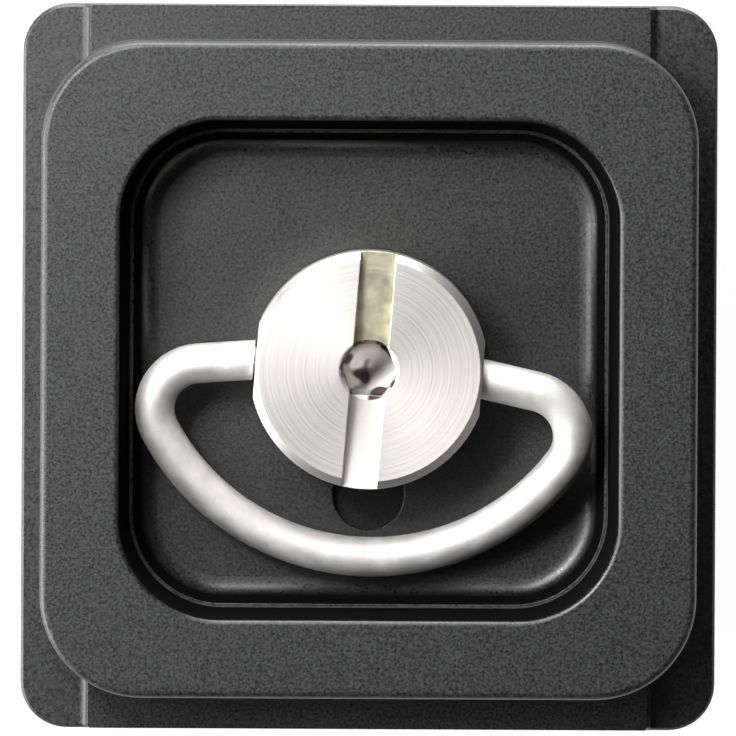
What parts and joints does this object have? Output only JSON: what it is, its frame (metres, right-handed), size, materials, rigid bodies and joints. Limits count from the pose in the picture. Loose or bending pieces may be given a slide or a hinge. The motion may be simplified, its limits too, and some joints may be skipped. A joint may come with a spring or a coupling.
{
  "type": "tripod quick release plate",
  "caption": "Square dovetail plate that clamps a camera to a tripod head, with a captive camera screw whose folding wire ring lies in a pocket.",
  "frame": {"origin": "on the camera screw's axis, in the face of the rubber pad that the camera stands on", "axes": "+Z points away from the camera, out of the clamp side; +Y runs along the dovetail; +X is to the right when the clamp side is looked at with +Y up"},
  "size_m": [0.0404, 0.042, 0.0145],
  "materials": {
    "black_coat": "fine-grained black coating on aluminium",
    "pad_rubber": "matt, grooved",
    "turned_steel": "bright plated, with turning marks on the head",
    "spring_steel": "plain stamped spring steel",
    "wire_steel": "satin bright wire"
  },
  "bodies": {
    "plate": {"plate_body": "black_coat", "camera_pad": "pad_rubber"},
    "retainer": {"retaining_ring": "spring_steel"},
    "screw": {"camera_screw": "turned_steel"},
    "ring": {"pull_ring": "wire_steel"}
  },
  "joints": [
    {"name": "screw_float", "type": "slide", "parent": "plate", "child": "retainer", "axis": [0, 0, 1], "range_m": [0, 0.0012]},
    {"name": "screw_turn", "type": "hinge", "parent": "retainer", "child": "screw", "pos_m": [0, 0, 0.0075], "axis": [0, 0, 1], "continuous": true},
    {"name": "ring_fold", "type": "hinge", "parent": "screw", "child": "ring", "pos_m": [0, 0, 0.0075], "axis": [-0.9969, 0.0785, 0], "range_deg": [0, 199]}
  ]
}
